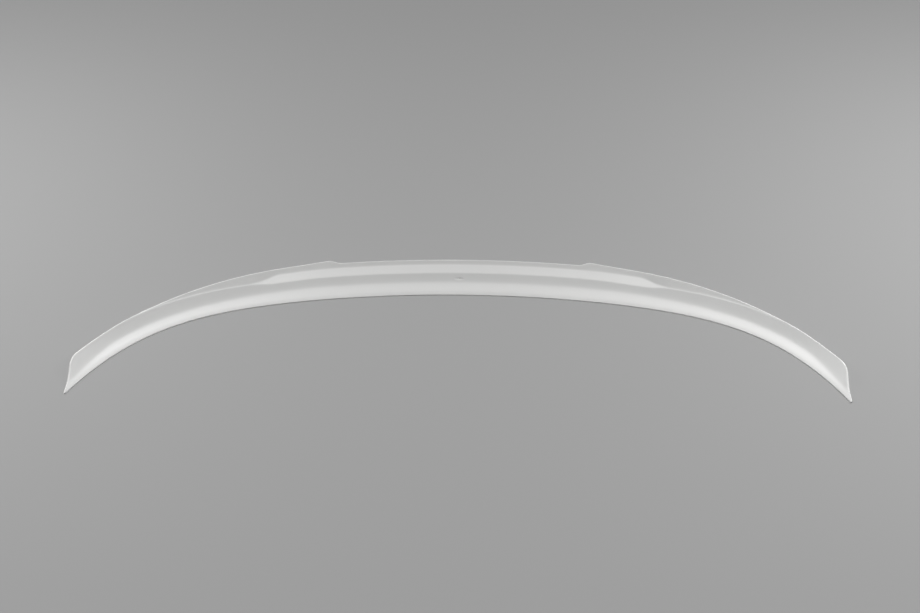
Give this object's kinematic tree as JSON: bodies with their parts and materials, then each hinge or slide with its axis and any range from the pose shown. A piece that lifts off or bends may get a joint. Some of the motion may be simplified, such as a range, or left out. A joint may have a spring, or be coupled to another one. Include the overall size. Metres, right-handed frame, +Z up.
{
  "type": "rear lip spoiler",
  "caption": "Slim crescent-shaped lip spoiler moulded in one white piece, swept forward to pointed ends, with a creased ramp, raised rear lip and open hollow underside.",
  "frame": {"origin": "middle of the bounding box in plan, at the level of the flat bonding rim", "axes": "+X across the car, +Y towards the car's rear and the raised lip, +Z up, away from the boot lid"},
  "size_m": [1.2538, 0.2928, 0.0278],
  "materials": {
    "shell": "satin white, as moulded"
  },
  "bodies": {
    "root": {"spoiler_shell": "shell"}
  },
  "joints": []
}
